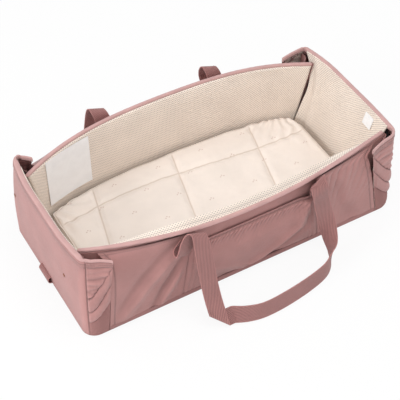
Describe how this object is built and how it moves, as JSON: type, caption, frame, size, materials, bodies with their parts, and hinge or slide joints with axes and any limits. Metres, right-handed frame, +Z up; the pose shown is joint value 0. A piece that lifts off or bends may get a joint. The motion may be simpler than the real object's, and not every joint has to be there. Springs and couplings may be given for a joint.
{
  "type": "soft carrycot",
  "caption": "Soft-sided carrycot with stiff ends, pleated corner wings, a mesh-lined cabin, a quilted mattress, side pockets and webbing carrying handles.",
  "frame": {"origin": "middle of the flat underside, on the floor", "axes": "+X towards the foot end, -Y towards the front side, +Z up"},
  "size_m": [0.7877, 0.6408, 0.231],
  "materials": {
    "shell_cloth": "matte woven, dusty rose",
    "binding": "matte woven, pale rose",
    "webbing": "ribbed webbing, rose",
    "base_cloth": "matte coated, deep rose",
    "mesh_lining": "spacer mesh, cream",
    "mattress_cover": "quilted cotton, cream",
    "foam": "foam sheet, hidden",
    "board": "stiff board, hidden",
    "label": "smooth tape, white, blank",
    "stud": "satin copper-coloured"
  },
  "bodies": {
    "cot": {"front_wall_shell": "shell_cloth", "front_wall_foam": "foam", "front_wall_lining": "mesh_lining", "front_rim_binding": "binding", "front_pocket": "shell_cloth", "front_pocket_elastic": "binding", "front_base_hem": "base_cloth", "front_head_panel": "shell_cloth", "front_head_handle_root": "webbing", "head_front_wing": "shell_cloth", "head_front_gusset": "shell_cloth", "front_foot_panel": "shell_cloth", "front_foot_handle_root": "webbing", "foot_front_wing": "shell_cloth", "foot_front_gusset": "shell_cloth", "back_wall_shell": "shell_cloth", "back_wall_foam": "foam", "back_wall_lining": "mesh_lining", "back_rim_binding": "binding", "back_pocket": "shell_cloth", "back_pocket_elastic": "binding", "back_base_hem": "base_cloth", "back_head_panel": "shell_cloth", "back_head_handle_root": "webbing", "head_back_wing": "shell_cloth", "head_back_gusset": "shell_cloth", "back_foot_panel": "shell_cloth", "back_foot_handle_root": "webbing", "foot_back_wing": "shell_cloth", "foot_back_gusset": "shell_cloth", "head_end_panel": "shell_cloth", "head_end_board": "board", "head_end_lining": "mesh_lining", "head_end_binding": "binding", "foot_end_panel": "shell_cloth", "foot_end_board": "board", "foot_end_lining": "mesh_lining", "foot_end_binding": "binding", "base_fabric": "base_cloth", "base_board": "board", "head_loop": "webbing", "head_stud_front": "stud", "head_stud_back": "stud", "care_label": "label", "side_tag": "label"},
    "mattress": {"mattress": "mattress_cover"},
    "front_handle": {"front_handle": "webbing"},
    "back_handle": {"back_handle": "webbing"}
  },
  "joints": [
    {"name": "front_handle_swing", "type": "hinge", "parent": "cot", "child": "front_handle", "pos_m": [0.0095, -0.213, 0.2035], "axis": [-1, 0, 0], "range_deg": [0, 150]},
    {"name": "back_handle_swing", "type": "hinge", "parent": "cot", "child": "back_handle", "pos_m": [-0.0135, 0.214, 0.2205], "axis": [1, 0, 0], "range_deg": [0, 150]},
    {"name": "mattress_lift", "type": "slide", "parent": "cot", "child": "mattress", "axis": [0, 0, 1], "range_m": [0, 0.3]}
  ]
}
